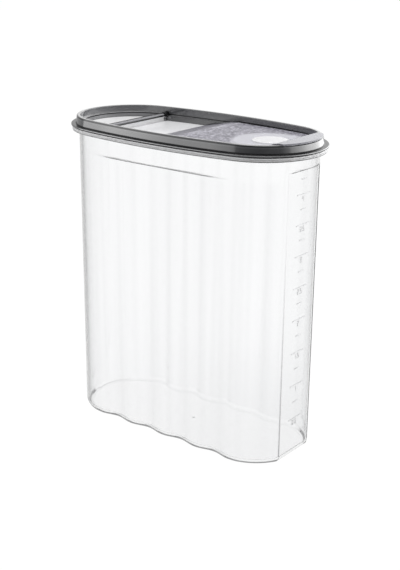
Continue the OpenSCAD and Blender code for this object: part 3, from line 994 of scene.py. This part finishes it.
def shelf_rings():
    """The shelf that carries the rear window: an open strip inside the skirt's foot behind the hinge."""
    section = rounded([(PLUG_INNER + PLUG_WALL / 2, REAR_SHELF, 0), (SHELF_INNER, REAR_SHELF, 0.3),
                       (SHELF_INNER, PLUG_BOTTOM, 0.3), (PLUG_INNER + PLUG_WALL / 2, PLUG_BOTTOM, 0)])
    return [[(x + nx * g, y + ny * g, z) for g, z in section]
            for x, y, nx, ny in oval_frame(72, 60) if x < REAR_START_X]


def boss_face_y():
    """Distance of a hinge boss's inner face from the middle plane."""
    return oval_half_width(HINGE_X, PLUG_INNER) - BOSS_LENGTH


def add_lid_frame(material):
    """The ring with its shelf and the two hinge bosses with their blind bores."""
    shape = Shape()
    shape.grid(sweep(frame_section), close_rings=True)
    shape.grid(shelf_rings())
    face = boss_face_y()
    bore = PIN_RADIUS + PIN_CLEARANCE
    for s in (-1, 1):
        profile = [(face + PIN_LENGTH, 0.01), (face + PIN_LENGTH, bore), (face + 0.3, bore),
                   (face, bore + 0.3), (face, BOSS_RADIUS - 0.3), (face + 0.3, BOSS_RADIUS),
                   (face + BOSS_LENGTH + PLUG_WALL / 2, BOSS_RADIUS)]
        shape.lathe_y(-HINGE_X, HINGE_Z, [(s * y, r) for y, r in profile])
    make_piece("grey_lid_frame", shape.verts, shape.faces, material, "lid", ["lid_frame"])


# ---- Flat panels -------------------------------------------------------------------

def panel(shape, rows, top, thickness, columns=64):
    """A sheet whose top face is top(x, y), between the half widths in rows of (x, half width)."""
    count = len(rows)
    base = len(shape.verts)
    for level in (0, thickness):
        for x, half in rows:
            for c in range(columns + 1):
                y = half * math.sin(math.pi / 2 * (2 * c / columns - 1))
                shape.verts.append((x, y, top(x, y) - level))
    step = columns + 1
    under = base + count * step
    for r in range(count - 1):
        for c in range(columns):
            a = base + r * step + c
            shape.faces.append((a, a + step, a + step + 1, a + 1))
            b = under + r * step + c
            shape.faces.append((b, b + 1, b + step + 1, b + step))
    for r in range(count - 1):
        for c in (0, columns):
            a, b = base + r * step + c, under + r * step + c
            shape.faces.append((a, b, b + step, a + step))
    for r in (0, count - 1):
        for c in range(columns):
            a, b = base + r * step + c, under + r * step + c
            shape.faces.append((a, a + 1, b + 1, b))


def arc_rows(offset, a_from, a_to, steps, side=1):
    """Rows along a round end of the oval, between two angles from the X axis."""
    radius = END_RADIUS + offset
    angles = [mix(a_from, a_to, i / steps) for i in range(steps + 1)]
    return [(side * (END_X + radius * math.cos(a)), radius * math.sin(a)) for a in angles]


def add_rear_window(material, rib_material):
    """The fixed sheet behind the hinge with the rib along its front edge."""
    front = -HINGE_X - WINDOW_SETBACK
    radius = END_RADIUS + LOW_EDGE
    start = math.acos((-front - END_X) / radius)
    rows = arc_rows(LOW_EDGE, 0.04, start, 40, -1)
    shape = Shape()
    panel(shape, rows, lambda x, y: WINDOW_TOP, WINDOW_THICKNESS)
    half = oval_half_width(front, LOW_EDGE) - 0.3
    shape.box((front - WINDOW_THICKNESS, -half, WINDOW_TOP - 0.2), (front, half, WINDOW_TOP + WINDOW_RIB))
    window = make_piece("clear_rear_window", shape.verts, shape.faces, material, "lid", ["rear_window"],
                        bevel=0.3)
    window.data.materials.append(rib_material)
    for face in window.data.polygons[-6:]:  # the rib's box comes last
        face.material_index = 1


# ---- Flip door ---------------------------------------------------------------------

TAB_ROOT_X = END_X + math.sqrt((END_RADIUS + HIGH_EDGE) ** 2 - TAB_HALF_WIDTH ** 2)
CURL_END_X = TAB_ROOT_X - PANEL_CLEARANCE
CURL_START_X = CURL_END_X - CURL_LENGTH
DOOR_BACK_X = -HINGE_X - DOOR_THICKNESS / 2


def door_top(x, y):
    """Height of the door's top face: deck, ramp, crowned panel, curl and tab."""
    crown = CREST - CROWN * (y / (COLLAR_HALF_WIDTH + HIGH_EDGE)) ** 2
    ramp = DECK_TOP + (CREST - DECK_TOP) * (x + RAMP_FOOT_X) / (CREASE_X + RAMP_FOOT_X)
    panel_height = soft_min(soft_max(DECK_TOP, ramp, 0.8), crown, 0.5)
    curl = mix(PANEL_TOP, TAB_TOP, smooth((x - CURL_START_X) / CURL_LENGTH))
    return panel_height if x < CURL_START_X else soft_max(panel_height, curl, 0.3)


def door_rows():
    """Rows of (x, half width) from the door's back edge to the tab's tip."""
    rows = [(DOOR_BACK_X, oval_half_width(DOOR_BACK_X, LOW_EDGE))]
    x = DOOR_BACK_X
    while x < CREASE_X - 1.5:
        x += 1.5
        rows.append((x, oval_half_width(x, LOW_EDGE)))
    rows.append((CREASE_X - 0.2, oval_half_width(CREASE_X, LOW_EDGE)))
    rows.append((CREASE_X + 0.2, oval_half_width(CREASE_X, HIGH_EDGE)))
    joint = END_X + (END_RADIUS + HIGH_EDGE) * math.cos(END_ANGLE)
    x = CREASE_X
    while x < joint - 2:
        x += 2
        rows.append((x, oval_half_width(x, HIGH_EDGE)))
    root_angle = math.asin(TAB_HALF_WIDTH / (END_RADIUS + HIGH_EDGE))
    tip_angle = math.asin(TAB_HALF_WIDTH / END_RADIUS)
    rows += arc_rows(HIGH_EDGE, END_ANGLE, root_angle, 24)
    rows += arc_rows(0, tip_angle, 0.04, 24)
    return rows


def add_flip_door(frosted, deck_milky, tab_milky, badge_milky, bar_milky):
    """The panel with its smooth deck and tab, the hinge bar with its web and pins, and the badge."""
    shape = Shape()
    panel(shape, door_rows(), door_top, DOOR_THICKNESS)
    door = make_piece("flip_door_panel", shape.verts, shape.faces, frosted, "door", ["flip_door"],
                      bevel=0.25)
    door.data.materials.append(deck_milky)
    door.data.materials.append(tab_milky)
    tab_start = CURL_START_X + CURL_LENGTH * 0.3
    for face in door.data.polygons:
        x = face.center.x / MM
        face.material_index = 1 if x < -RAMP_FOOT_X else 2 if x > tab_start else 0
    bar = Shape()
    reach = boss_face_y() - SEAT
    tip = reach + PIN_LENGTH
    half_bar = [(reach - 0.2, BAR_RADIUS), (reach, BAR_RADIUS - 0.2), (reach, PIN_RADIUS),
                (tip - 0.3, PIN_RADIUS), (tip, PIN_RADIUS - 0.3), (tip, 0.01)]
    bar.lathe_y(-HINGE_X, HINGE_Z, [(-y, r) for y, r in half_bar[::-1]] + [(0, BAR_RADIUS)] + half_bar)
    bar.box((DOOR_BACK_X, -reach, DECK_TOP - 0.2), (DOOR_BACK_X + DOOR_THICKNESS, reach, HINGE_Z))
    make_piece("door_hinge_bar", bar.verts, bar.faces, bar_milky, "door")
    badge = Shape()
    badge_top = CREST + BADGE_RELIEF
    edge = ((BADGE_RADIUS, CREST - 0.6), (BADGE_RADIUS, badge_top - 0.25),
            (BADGE_RADIUS - 0.08, badge_top - 0.08), (BADGE_RADIUS - 0.3, badge_top))
    badge.grid([[(x, y, z) for x, y in circle(r, 72, (BADGE_X, 0))] for r, z in edge])
    make_piece("round_badge_place", badge.verts, badge.faces, badge_milky, "door")


# ---- Scene ---------------------------------------------------------------------------

bpy.context.scene.view_settings.view_transform = "Standard"
add_camera()
add_world()
add_tent()
add_lamp("top_softbox", (0, 0, 1.6), (0, 0, 0.2), (1.2, 1.2), SOFTBOX_RADIANCE)
add_floor()

add_container(container_plastic(), clear_mark_plastic())
add_lid_frame(grey_plastic())
add_rear_window(smooth_plastic("window_milky", (0.83, 0.83, 0.84), 1.0, 0.1), rib_plastic())
add_flip_door(frosted_plastic(), smooth_plastic("deck_milky", (0.73, 0.73, 0.745), 1.0, 0.1),
              smooth_plastic("tab_milky", (0.34, 0.34, 0.38)),
              smooth_plastic("badge_milky", (0.82, 0.82, 0.84)), bar_plastic())
